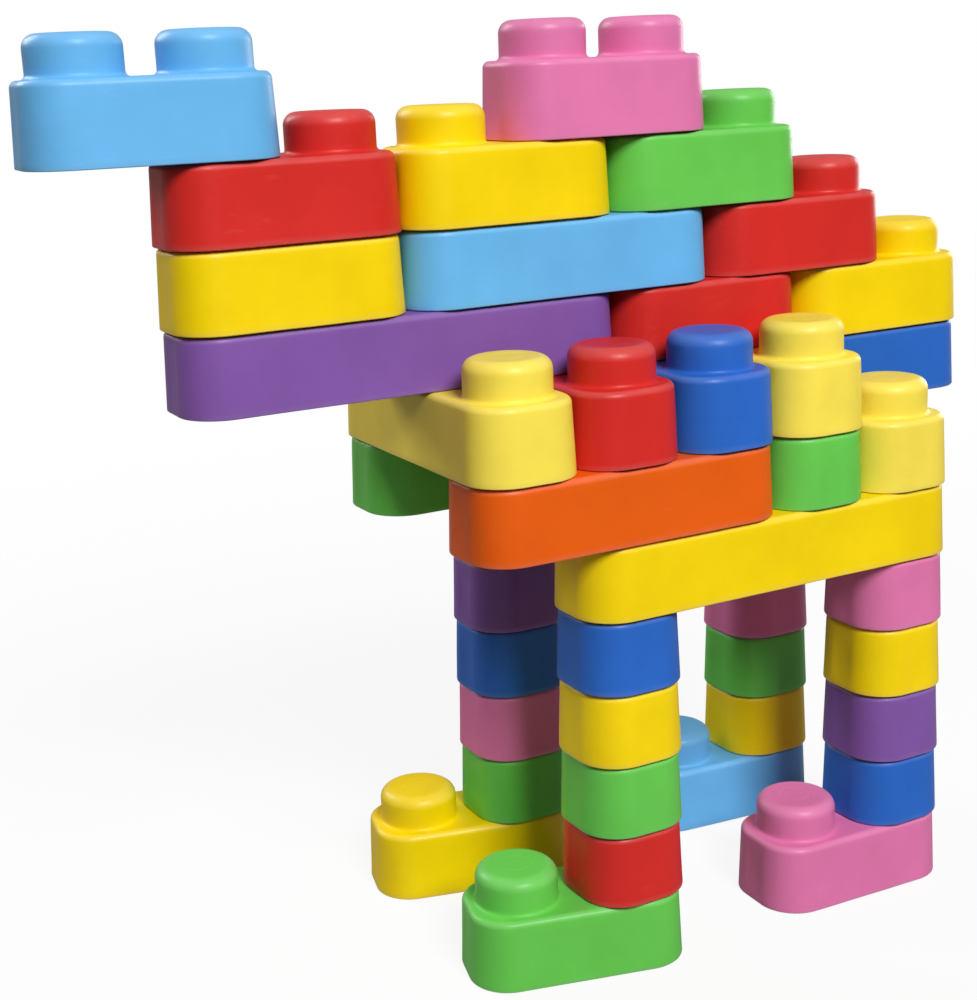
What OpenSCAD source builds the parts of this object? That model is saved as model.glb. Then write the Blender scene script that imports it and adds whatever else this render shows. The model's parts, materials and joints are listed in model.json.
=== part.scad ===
// A camel on four legs, put together from giant building blocks.
// Every block is one hollow moulding: round studs on top, round sockets underneath.
// X runs from head to tail, Y from the camel's left side to its right side, Z is up.
// The origin is on the floor, below the middle of the whole camel.

/* [Block grid] */
// Distance from one stud to the next
pitch = 100; // [96:0.5:130]
// Height of one course of blocks, without the stud
course_h = 66; // [52:0.5:90]
// Gap between a block's side and the grid line
side_gap = 0.3; // [0.1:0.05:1]
// Gap between a block's top and the block that sits on it
seat_gap = 0.05; // [0.02:0.01:0.5]

/* [Block body] */
// Plan radius of a block's four corners, at the bottom
corner_r = 37; // [25:0.5:40]
// How far a wall leans in from the bottom of the block to its top
wall_lean = 2.6; // [1:0.1:4]
// Rounding of the edge between the walls and the top
top_edge_r = 5; // [3:0.25:6]
// Thickness of the moulded shell
wall_t = 4; // [3:0.1:5]

/* [Studs] */
// Radius of a stud
stud_r = 37.5; // [30:0.1:38]
// Height of a stud above the top of its block
stud_h = 33; // [24:0.5:40]
// Rounding of the stud's top edge
stud_edge_r = 9; // [5:0.5:12]
// Flare where the stud meets the top of its block
stud_flare = 2; // [0.5:0.1:2]
// Radius of the ring mark on top of a stud, at its middle
mark_r = 14; // [8:0.5:18]
// Width of the ring mark
mark_w = 2; // [1:0.25:4]
// Depth of the ring mark
mark_depth = 0.5; // [0.2:0.1:1]

/* [Sockets] */
// Radial room between a stud and the socket it sits in
fit_clearance = 0.3; // [0.2:0.05:0.5]
// Wall thickness of a socket ring
ring_t = 4; // [3.5:0.1:5]
// Thickness of the webs that carry the socket rings
web_t = 3; // [2:0.25:5]
// Chamfer at the mouth of a socket
mouth_chamfer = 2.5; // [2.2:0.1:3]

/* [Stance] */
// Turn of the left fore foot on its leg, toe outwards positive
left_fore_turn = -14; // [-20:1:60]
// Turn of the right fore foot on its leg, toe inwards positive
right_fore_turn = -14; // [-60:1:20]
// Turn of the left hind foot on its leg, toe outwards positive
left_hind_turn = -2; // [-20:1:60]
// Turn of the right hind foot on its leg, toe inwards positive
right_hind_turn = -5; // [-60:1:20]
// Turn of the head on its neck stud, towards the left positive
head_turn = -4; // [-30:1:30]

/* [Hidden] */
$fn = 64;

// Overrun of a cut past the face that it opens
cut = 1;

// Colours of the mouldings
red = "#d23a34";
orange = "#e2641c";
yellow = "#f0d100";
light_yellow = "#f5e25c";
green = "#68c850";
light_blue = "#62b2ea";
blue = "#2f6cc4";
purple = "#835ba5";
pink = "#e07cab";

// Body height below the studs, wall slope, and the straight lengths between the round corners
body_h = course_h - seat_gap;
wall_slope = wall_lean / body_h;
core_w = pitch - 2 * (side_gap + corner_r);
function core_l(units) = core_w + (units - 1) * pitch;

// Inner sizes that follow from the shell and the stud
cavity_h = body_h - wall_t;
cavity_edge_r = max(top_edge_r - wall_t, 0.5);
hollow_r = stud_r - wall_t;
hollow_edge_r = max(stud_edge_r - wall_t, 0.5);
stud_sink = wall_t / 2;
socket_r = stud_r + fit_clearance;
ring_r = socket_r + ring_t;

// Grid rows, from the left side of the camel to its right side
left_row = -1;
middle_row = 0;
right_row = 1;

// Grid columns, from head to tail
neck_column = -2;
chest_column = 0;
fore_leg_column = 1;
mid_column = 2;
loin_column = 3;
hind_leg_column = 4;
tail_column = 5;

// Courses above the four leg blocks, counted up from the feet
foot_course = 0;
belly_course = 5;
shoulder_course = belly_course + 1;
crossbar_course = shoulder_course + 1;
back_course = crossbar_course + 1;
hump_course = back_course + 1;
crown_course = hump_course + 1;
top_course = crown_course + 1;

// Reach of a two-unit block that turns on one of its studs: ahead of that stud, and to its side
swing = pitch + core_w / 2;
function reach_ahead(turn) = swing * cos(turn) + core_w / 2 * abs(sin(turn)) + corner_r;
function reach_aside(turn) = max(swing * sin(turn), -core_w / 2 * sin(turn))
    + core_w / 2 * cos(turn) + corner_r;

// Outline of the whole camel on the grid, before the origin is moved under its middle
half_block = pitch / 2 - side_gap;
left_reach = max(half_block, reach_aside(left_fore_turn), reach_aside(left_hind_turn));
right_reach = max(half_block, reach_aside(-right_fore_turn), reach_aside(-right_hind_turn));
grid_left = left_row * pitch - left_reach;
grid_right = right_row * pitch + right_reach;
grid_front = neck_column * pitch - reach_ahead(head_turn);
grid_back = tail_column * pitch + half_block;
middle_x = (grid_front + grid_back) / 2;
middle_y = (grid_left + grid_right) / 2;

function column_x(column) = column * pitch - middle_x;
function row_y(row) = row * pitch - middle_y;

// Quarter of a disc, which rounds the corner between two straight edges
module quarter_disc(r) {
    intersection() {
        circle(r);
        square(r);
    }
}

// Section through one leaning wall with a rounded top edge; skirt carries it below the bottom
module wall_section(reach, height, edge, skirt) {
    shoulder = height - edge;
    shoulder_reach = reach - wall_slope * shoulder;
    polygon([
        [0, -skirt],
        [reach + wall_slope * skirt, -skirt],
        [shoulder_reach, shoulder],
        [0, shoulder],
    ]);
    translate([0, shoulder]) square([shoulder_reach - edge, edge]);
    translate([shoulder_reach - edge, shoulder]) quarter_disc(edge);
}

// Straight wall, run long, that stands off from the middle of the block
module straight_wall(run, offset_y, reach, height, edge, skirt) {
    translate([-run / 2, offset_y, 0])
        rotate([90, 0, 90])
            linear_extrude(run) wall_section(reach, height, edge, skirt);
}

// Leaning body with round corners, some units long; inset makes it thinner for the cavity
module leaning_body(units, inset, height, edge, skirt) {
    reach = corner_r - inset;
    run = core_l(units);
    translate([(units - 1) * pitch / 2, 0, 0]) {
        translate([-run / 2, -core_w / 2, -skirt]) cube([run, core_w, height + skirt]);
        for (turn = [0, 180]) {
            rotate(turn) straight_wall(run, core_w / 2, reach, height, edge, skirt);
            rotate(turn + 90) straight_wall(core_w, run / 2, reach, height, edge, skirt);
            for (end = [0, 1])
                rotate(turn)
                    translate([(1 - 2 * end) * run / 2, core_w / 2, 0])
                        rotate(90 * end)
                            rotate_extrude(angle = 90) wall_section(reach, height, edge, skirt);
        }
    }
}

// Half section of a round peg with a rounded top edge
module peg_section(r, height, edge) {
    square([r, height - edge]);
    translate([0, height - edge]) square([r - edge, edge]);
    translate([r - edge, height - edge]) quarter_disc(edge);
}

// One stud, standing on the plane z = 0 and sunk a little into the shell below it
module stud() {
    rotate_extrude()
        difference() {
            union() {
                translate([0, -stud_sink]) square([stud_r, stud_sink]);
                peg_section(stud_r, stud_h, stud_edge_r);
                polygon([[stud_r, 0], [stud_r + stud_flare, 0], [stud_r, stud_flare]]);
            }
            translate([mark_r - mark_w / 2, stud_h - mark_depth]) square([mark_w, mark_depth + cut]);
        }
}

// Hollow inside a stud, open to the cavity below it
module stud_hollow() {
    rotate_extrude() peg_section(hollow_r, stud_h + cut, hollow_edge_r);
}

// Socket rings and the webs that tie them to the walls
module socket_frame(units) {
    frame_h = body_h + 2 * cut;
    difference() {
        translate([0, 0, -2 * cut]) {
            translate([-pitch / 2, -web_t / 2, 0]) cube([units * pitch, web_t, frame_h]);
            for (i = [0 : units - 1])
                translate([i * pitch, 0, 0]) {
                    translate([-web_t / 2, -pitch / 2, 0]) cube([web_t, pitch, frame_h]);
                    cylinder(r = ring_r, h = frame_h);
                }
        }
        for (i = [0 : units - 1])
            translate([i * pitch, 0, 0]) {
                translate([0, 0, -3 * cut]) cylinder(r = socket_r, h = frame_h + 2 * cut);
                translate([0, 0, -cut])
                    cylinder(r1 = socket_r + mouth_chamfer + cut, r2 = socket_r, h = mouth_chamfer + cut);
            }
    }
}

// One block: its first stud is over the origin and the others follow along +X
module block(units) {
    difference() {
        union() {
            leaning_body(units, 0, body_h, top_edge_r, 0);
            for (i = [0 : units - 1])
                translate([i * pitch, 0, body_h]) stud();
        }
        difference() {
            leaning_body(units, wall_t, cavity_h, cavity_edge_r, cut);
            socket_frame(units);
        }
        for (i = [0 : units - 1])
            translate([i * pitch, 0, cavity_h - cut]) stud_hollow();
    }
}

// Puts a block on the grid, with its first stud on the named column, row and course
module on_grid(column, row, course) {
    translate([column_x(column), row_y(row), course * course_h]) children();
}

// A block that turns on its second stud
module turned_pair(turn) {
    rotate(turn) translate([-pitch, 0, 0]) block(2);
}

// A foot on its leg axis, toe ahead of the leg
module foot(column, row, turn) {
    on_grid(column, row, foot_course) turned_pair(turn);
}

// A three-unit block across the camel, from its left row to its right row
module crossbar(column, course) {
    on_grid(column, left_row, course) rotate(90) block(3);
}

module left_fore_foot() { color(green) foot(fore_leg_column, left_row, left_fore_turn); }
module left_fore_leg_1() { color(red) on_grid(fore_leg_column, left_row, 1) block(1); }
module left_fore_leg_2() { color(green) on_grid(fore_leg_column, left_row, 2) block(1); }
module left_fore_leg_3() { color(yellow) on_grid(fore_leg_column, left_row, 3) block(1); }
module left_fore_leg_4() { color(blue) on_grid(fore_leg_column, left_row, 4) block(1); }

module right_fore_foot() { color(yellow) foot(fore_leg_column, right_row, right_fore_turn); }
module right_fore_leg_1() { color(green) on_grid(fore_leg_column, right_row, 1) block(1); }
module right_fore_leg_2() { color(pink) on_grid(fore_leg_column, right_row, 2) block(1); }
module right_fore_leg_3() { color(blue) on_grid(fore_leg_column, right_row, 3) block(1); }
module right_fore_leg_4() { color(purple) on_grid(fore_leg_column, right_row, 4) block(1); }

module left_hind_foot() { color(pink) foot(hind_leg_column, left_row, left_hind_turn); }
module left_hind_leg_1() { color(blue) on_grid(hind_leg_column, left_row, 1) block(1); }
module left_hind_leg_2() { color(purple) on_grid(hind_leg_column, left_row, 2) block(1); }
module left_hind_leg_3() { color(yellow) on_grid(hind_leg_column, left_row, 3) block(1); }
module left_hind_leg_4() { color(pink) on_grid(hind_leg_column, left_row, 4) block(1); }

module right_hind_foot() { color(light_blue) foot(hind_leg_column, right_row, right_hind_turn); }
module right_hind_leg_1() { color(yellow) on_grid(hind_leg_column, right_row, 1) block(1); }
module right_hind_leg_2() { color(green) on_grid(hind_leg_column, right_row, 2) block(1); }
module right_hind_leg_3() { color(pink) on_grid(hind_leg_column, right_row, 3) block(1); }
module right_hind_leg_4() { color(blue) on_grid(hind_leg_column, right_row, 4) block(1); }

module left_belly_beam() { color(yellow) on_grid(fore_leg_column, left_row, belly_course) block(4); }
module right_belly_beam() { color(yellow) on_grid(fore_leg_column, right_row, belly_course) block(4); }

module left_shoulder_beam() { color(orange) on_grid(chest_column, left_row, shoulder_course) block(3); }
module right_shoulder_beam() { color(green) on_grid(chest_column, right_row, shoulder_course) block(3); }
module left_flank_block() { color(green) on_grid(loin_column, left_row, shoulder_course) block(1); }
module right_flank_block() { color(green) on_grid(loin_column, right_row, shoulder_course) block(1); }
module rump_crossbar() { color(light_yellow) crossbar(hind_leg_column, shoulder_course); }

module chest_crossbar() { color(light_yellow) crossbar(chest_column, crossbar_course); }
module fore_crossbar() { color(red) crossbar(fore_leg_column, crossbar_course); }
module mid_crossbar() { color(blue) crossbar(mid_column, crossbar_course); }
module loin_crossbar() { color(light_yellow) crossbar(loin_column, crossbar_course); }
module tail_lower_block() { color(blue) on_grid(hind_leg_column, middle_row, crossbar_course) block(2); }

module neck_beam() { color(purple) on_grid(neck_column, middle_row, back_course) block(4); }
module back_block() { color(red) on_grid(mid_column, middle_row, back_course) block(2); }
module tail_upper_block() { color(yellow) on_grid(hind_leg_column, middle_row, back_course) block(2); }

module neck_lower_block() { color(yellow) on_grid(neck_column, middle_row, hump_course) block(2); }
module hump_base_beam() { color(light_blue) on_grid(chest_column, middle_row, hump_course) block(3); }
module hump_rear_block() { color(red) on_grid(loin_column, middle_row, hump_course) block(2); }

module neck_upper_block() { color(red) on_grid(neck_column, middle_row, crown_course) block(2); }
module hump_front_block() { color(yellow) on_grid(chest_column, middle_row, crown_course) block(2); }
module hump_mid_block() { color(green) on_grid(mid_column, middle_row, crown_course) block(2); }

module head_block() { color(light_blue) on_grid(neck_column, middle_row, top_course) turned_pair(head_turn); }
module hump_cap() { color(pink) on_grid(fore_leg_column, middle_row, top_course) block(2); }

left_fore_foot();
left_fore_leg_1();
left_fore_leg_2();
left_fore_leg_3();
left_fore_leg_4();
right_fore_foot();
right_fore_leg_1();
right_fore_leg_2();
right_fore_leg_3();
right_fore_leg_4();
left_hind_foot();
left_hind_leg_1();
left_hind_leg_2();
left_hind_leg_3();
left_hind_leg_4();
right_hind_foot();
right_hind_leg_1();
right_hind_leg_2();
right_hind_leg_3();
right_hind_leg_4();
left_belly_beam();
right_belly_beam();
left_shoulder_beam();
right_shoulder_beam();
left_flank_block();
right_flank_block();
rump_crossbar();
chest_crossbar();
fore_crossbar();
mid_crossbar();
loin_crossbar();
tail_lower_block();
neck_beam();
back_block();
tail_upper_block();
neck_lower_block();
hump_base_beam();
hump_rear_block();
neck_upper_block();
hump_front_block();
hump_mid_block();
head_block();
hump_cap();
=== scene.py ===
"""Looks of a camel put together from giant building blocks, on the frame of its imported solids.

Every block of the frame is stood for by a moulded skin that is worked out in numpy: round studs with a
soft edge, leaning walls that sink in a little, and the hollow underside with its socket rings.
"""
import json
import logging
import math
from dataclasses import dataclass, replace
from enum import Enum
from typing import Union

import bpy
import numpy as np
from mathutils import Matrix, Vector


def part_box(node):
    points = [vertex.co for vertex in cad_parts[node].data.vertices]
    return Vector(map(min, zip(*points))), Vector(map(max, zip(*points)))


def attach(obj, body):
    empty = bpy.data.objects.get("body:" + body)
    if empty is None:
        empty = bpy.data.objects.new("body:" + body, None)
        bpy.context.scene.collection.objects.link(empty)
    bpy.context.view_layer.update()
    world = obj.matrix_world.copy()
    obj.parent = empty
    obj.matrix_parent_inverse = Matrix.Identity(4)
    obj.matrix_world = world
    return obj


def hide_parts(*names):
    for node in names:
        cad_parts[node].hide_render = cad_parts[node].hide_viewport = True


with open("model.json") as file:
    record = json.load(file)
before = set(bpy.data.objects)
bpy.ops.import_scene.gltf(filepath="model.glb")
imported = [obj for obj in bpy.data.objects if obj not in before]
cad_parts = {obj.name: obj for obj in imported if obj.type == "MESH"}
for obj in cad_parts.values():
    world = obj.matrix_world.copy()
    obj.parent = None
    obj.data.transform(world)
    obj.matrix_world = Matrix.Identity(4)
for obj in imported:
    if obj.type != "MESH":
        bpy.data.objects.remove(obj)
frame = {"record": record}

log = logging.getLogger("camel")

# Size of the photograph, in pixels
PHOTO_WIDTH = 977
PHOTO_HEIGHT = 1000
# Gap between a block's top and the block that sits on it, in metres
SEAT_GAP = 0.00005
MM_PER_M = 1000.0
# Attribute that tells the finish where edges are worn and where a highlight is painted on them
EDGE_WEAR_AND_HIGHLIGHT = "edge_wear"
WHITE = (1.0, 1.0, 1.0, 1.0)
# Middle of a noise's values
NOISE_MIDDLE = 0.5
# Points that agree to this many decimals of a metre count as one
MERGE_DECIMALS = 6
# Least length that a sum of normals is divided by
LEAST_LENGTH = 1e-12
# Faces that meet at a steeper angle keep a sharp edge
SHARP_ANGLE = math.radians(42.0)
# Least share of a column's direction that counts as straight out of a wall
STRAIGHT_OUT = 0.999
# Slow waves in a block's surface: how many, and their shortest and longest length in metres
WAVE_COUNT = 7
WAVE_LENGTHS = (0.045, 0.130)
NO_TRIANGLES = np.zeros((0, 3), int)


class Tone(Enum):
    """Colours of the mouldings, as sRGB values from 0 to 255."""

    RED = (210, 42, 36)
    ORANGE = (230, 94, 8)
    YELLOW = (246, 214, 0)
    LIGHT_YELLOW = (250, 228, 84)
    GREEN = (102, 201, 80)
    LIGHT_BLUE = (104, 183, 238)
    BLUE = (40, 103, 198)
    PURPLE = (128, 86, 166)
    PINK = (224, 120, 173)

    @property
    def slot(self) -> str:
        """Name of the material slot in the record."""
        return self.name.lower()

    @property
    def linear(self) -> np.ndarray:
        """The colour in linear light, by the sRGB standard's formula."""
        share = np.array(self.value) / 255.0
        return np.where(share <= 0.04045, share / 12.92, ((share + 0.055) / 1.055) ** 2.4)


class Side(Enum):
    """The camel's own two sides."""

    LEFT = "left"
    RIGHT = "right"


class End(Enum):
    """The two ends of the camel that stand on legs."""

    FORE = "fore"
    HIND = "hind"


# Shader maths

Value = Union["Signal", float, tuple]


@dataclass(frozen=True)
class Threshold:
    """How a mask rises with a value.

    Attributes:
        start: The value at which it leaves 0.
        steepness: How much it rises for each 1 of the value.
    """

    start: float
    steepness: float


@dataclass(frozen=True)
class Noise:
    """How fine a noise is.

    Attributes:
        scale: Features per unit of its coordinates.
        detail: How many finer layers it has.
        roughness: How strong the finer layers are.
    """

    scale: float
    detail: float = 2.0
    roughness: float = 0.5


@dataclass(frozen=True)
class Signal:
    """One output of a shader tree; arithmetic on it adds Math nodes."""

    graph: "ShaderGraph"
    socket: bpy.types.NodeSocket

    def maths(self, operation: str, first: Value, second: Value) -> "Signal":
        """Adds one Math node on two values."""
        return self.graph.node("ShaderNodeMath", {"operation": operation}, {0: first, 1: second})

    def __add__(self, other: Value) -> "Signal":
        """Sum of two values."""
        return self.maths("ADD", self, other)

    def __radd__(self, other: Value) -> "Signal":
        """Sum with a number in front."""
        return self.maths("ADD", other, self)

    def __sub__(self, other: Value) -> "Signal":
        """Difference of two values."""
        return self.maths("SUBTRACT", self, other)

    def __rsub__(self, other: Value) -> "Signal":
        """Difference from a number in front."""
        return self.maths("SUBTRACT", other, self)

    def __mul__(self, other: Value) -> "Signal":
        """Product of two values."""
        return self.maths("MULTIPLY", self, other)

    def __rmul__(self, other: Value) -> "Signal":
        """Product with a number in front."""
        return self.maths("MULTIPLY", other, self)

    def clamped(self) -> "Signal":
        """The value held between 0 and 1."""
        return self.graph.node("ShaderNodeClamp", {}, {"Value": self})

    def above(self, threshold: Threshold) -> "Signal":
        """A mask that rises from 0 at the threshold's start to 1."""
        return ((self - threshold.start) * threshold.steepness).clamped()


class ShaderGraph:
    """The nodes of one material or world."""

    def __init__(self, tree: bpy.types.NodeTree) -> None:
        """Starts from an empty tree.

        Args:
            tree: The node tree to fill.
        """
        tree.nodes.clear()
        self.tree = tree

    def node(self, kind: str, settings: dict | None = None, sockets: dict | None = None,
             output: int | str = 0) -> Signal:
        """Adds one node.

        Args:
            kind: The node's type.
            settings: Its own settings, set before its sockets.
            sockets: Values or links of its sockets, by name or number.
            output: The output that is handed back.

        Returns:
            That output, or an empty signal for a node without outputs.
        """
        made = self.tree.nodes.new(kind)
        for name, setting in (settings or {}).items():
            setattr(made, name, setting)
        for key, value in (sockets or {}).items():
            if isinstance(value, Signal):
                self.tree.links.new(value.socket, made.inputs[key])
            else:
                made.inputs[key].default_value = value
        return Signal(self, made.outputs[output] if made.outputs else None)

    def object_coordinates(self) -> Signal:
        """Object coordinates, which are the camel's own frame in metres."""
        return self.node("ShaderNodeTexCoord", output="Object")

    def ray(self, kind: str) -> Signal:
        """1 on rays of that kind, and 0 on others."""
        return self.node("ShaderNodeLightPath", output=kind)

    def noise(self, where: Signal, grade: Noise) -> Signal:
        """Noise in three dimensions.

        Args:
            where: Its coordinates.
            grade: How fine it is.

        Returns:
            Values from 0 to 1.
        """
        return self.node("ShaderNodeTexNoise", {"noise_dimensions": "3D"},
                         {"Vector": where, "Scale": grade.scale, "Detail": grade.detail,
                          "Roughness": grade.roughness})

    def mix(self, share: Value, first: Value, second: Value) -> Signal:
        """Colour between two colours."""
        return self.node("ShaderNodeMix", {"data_type": "RGBA"}, {0: share, 6: first, 7: second}, output=2)


def opaque(colour: np.ndarray) -> tuple:
    """A linear colour as the four numbers that a colour socket takes."""
    return (*np.clip(colour, 0.0, 1.0).tolist(), 1.0)


@dataclass(frozen=True)
class MouldedPlastic:
    """Satin finish of a soft moulded block.

    Attributes:
        tone: The moulding's colour.
        mottling: How far the colour drifts in broad clouds.
        pale_share: Share of that drift that the paler side has.
        whitening: How far scuffs, worn edges and the highlight painted on edges may go from the colour to
            white.
        scuff_strength: How pale the fine scuffs are.
        wear_and_highlight_strength: How pale the edges are from wear and painted highlight.
        least_wear_and_highlight: Edge wear and painted highlight where the waves are lowest.
        roughness: Roughness between the clouds.
        cloud_roughness: How far the clouds move the roughness.
        scuff_roughness: How much rougher a scuff is.
        edge_mask_polish: How much smoother an edge is where it has wear and painted highlight.
        grain_depth: Depth of the moulded grain, in metres.
        bump_strength: Strength of the bump.
        grain_share: Height of the grain in the bump, beside the waves.
        scuff_share: Depth of the scuffs in it.
        refraction: Refractive index of the plastic.
        shine: Level of its reflections.
        clouds: Broad drifts of colour and gloss, in features per metre.
        waves: Slow unevenness of the surface.
        grain: The moulded grain.
        patches: Areas that are scuffed.
        scuffs: Scuffs, on stretched coordinates.
        streak_turn: Turn of the scuffs, in radians.
        streak_scale: Stretch of the scuffs along three axes, per metre.
        cloud_mask: Where the clouds turn paler.
        patch_mask: Where the scuffed areas begin.
        scuff_mask: Which peaks of the scuffs are kept.
    """

    tone: Tone
    mottling: float = 0.07
    pale_share: float = 0.5
    whitening: float = 0.55
    scuff_strength: float = 0.025
    wear_and_highlight_strength: float = 0.10
    least_wear_and_highlight: float = 0.35
    roughness: float = 0.41
    cloud_roughness: float = 0.16
    scuff_roughness: float = 0.14
    edge_mask_polish: float = 0.05
    grain_depth: float = 0.0006
    bump_strength: float = 0.32
    grain_share: float = 0.28
    scuff_share: float = 0.10
    refraction: float = 1.5
    shine: float = 0.24
    clouds: Noise = Noise(16.0, 4.0, 0.55)
    waves: Noise = Noise(55.0)
    grain: Noise = Noise(900.0, 2.0, 0.6)
    patches: Noise = Noise(21.0)
    scuffs: Noise = Noise(1.0, 3.0, 0.6)
    streak_turn: tuple = (0.5, 0.35, 0.9)
    streak_scale: tuple = (28.0, 360.0, 150.0)
    cloud_mask: Threshold = Threshold(0.30, 2.5)
    patch_mask: Threshold = Threshold(0.50, 7.0)
    scuff_mask: Threshold = Threshold(0.60, 8.0)

    def scuffed(self, graph: ShaderGraph, where: Signal) -> Signal:
        """Mask of the fine scuffs: the peaks of stretched noise, inside patches.

        Args:
            graph: The material's nodes.
            where: Object coordinates.

        Returns:
            The mask.
        """
        streaked = graph.node("ShaderNodeMapping", {}, {"Vector": where, "Rotation": self.streak_turn,
                                                        "Scale": self.streak_scale})
        patches = graph.noise(where, self.patches).above(self.patch_mask)
        return graph.noise(streaked, self.scuffs).above(self.scuff_mask) * patches

    def colour(self, clouds: Signal, scuffs: Signal, wear_and_highlight: Signal) -> Signal:
        """Colour of the surface: it drifts with the clouds, pales with scuffs, and pales on the edges with
        wear and a painted highlight.

        Args:
            clouds: The broad clouds.
            scuffs: Mask of the scuffs.
            wear_and_highlight: Wear and painted highlight of the edges.

        Returns:
            The colour.
        """
        plain = self.tone.linear
        deep = opaque(plain * (1.0 - self.mottling))
        pale = opaque(plain * (1.0 + self.mottling * self.pale_share))
        whitened = opaque(plain + (1.0 - plain) * self.whitening)
        drift = clouds.graph.mix(clouds.above(self.cloud_mask), deep, pale)
        # Scuffs, and the edge mask of wear and painted highlight, pale the colour towards white
        paling = (scuffs * self.scuff_strength + wear_and_highlight * self.wear_and_highlight_strength).clamped()
        return clouds.graph.mix(paling, drift, whitened)

    def material(self) -> bpy.types.Material:
        """Builds the finish.

        Broad clouds drift the colour and the gloss. Scuffs are rougher and worn edges smoother than the
        rest; edges also pale with wear and a painted highlight, which come from the skin's own attribute.
        Waves and grain, less the scuffs, give the bump.

        Returns:
            The material.
        """
        made = bpy.data.materials.new(f"{self.tone.slot}_plastic")
        made.use_nodes = True
        graph = ShaderGraph(made.node_tree)
        where = graph.object_coordinates()
        clouds = graph.noise(where, self.clouds)
        waves = graph.noise(where, self.waves)
        grain = graph.noise(where, self.grain)
        scuffs = self.scuffed(graph, where)
        # The skin's edge mask: wear and a painted highlight on the rounded edges, varied by the waves
        edge = graph.node("ShaderNodeAttribute", {"attribute_name": EDGE_WEAR_AND_HIGHLIGHT}, output="Fac")
        wear_and_highlight = edge * (self.least_wear_and_highlight + waves)

        gloss = (clouds - NOISE_MIDDLE) * self.cloud_roughness
        rough = self.roughness + gloss + scuffs * self.scuff_roughness - wear_and_highlight * self.edge_mask_polish
        height = grain * self.grain_share + waves - scuffs * self.scuff_share
        bump = graph.node("ShaderNodeBump", {}, {"Strength": self.bump_strength, "Distance": self.grain_depth,
                                                 "Height": height})
        shader = graph.node("ShaderNodeBsdfPrincipled", {}, {
            "Base Color": self.colour(clouds, scuffs, wear_and_highlight), "Roughness": rough.clamped(), "Normal": bump,
            "IOR": self.refraction, "Specular IOR Level": self.shine})
        graph.node("ShaderNodeOutputMaterial", {}, {"Surface": shader})
        return made


# Sizes from the frame

def mount(name: str) -> dict:
    """The record's mount of that name."""
    return next(item for item in frame["record"]["mounts"] if item["name"] == name)


def joint_place(name: str) -> list:
    """A point on the axis of the record's joint of that name."""
    joints = frame["record"]["behaviour"]["joints"]
    return next(item for item in joints if item["name"] == name)["pos_m"]


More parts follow.
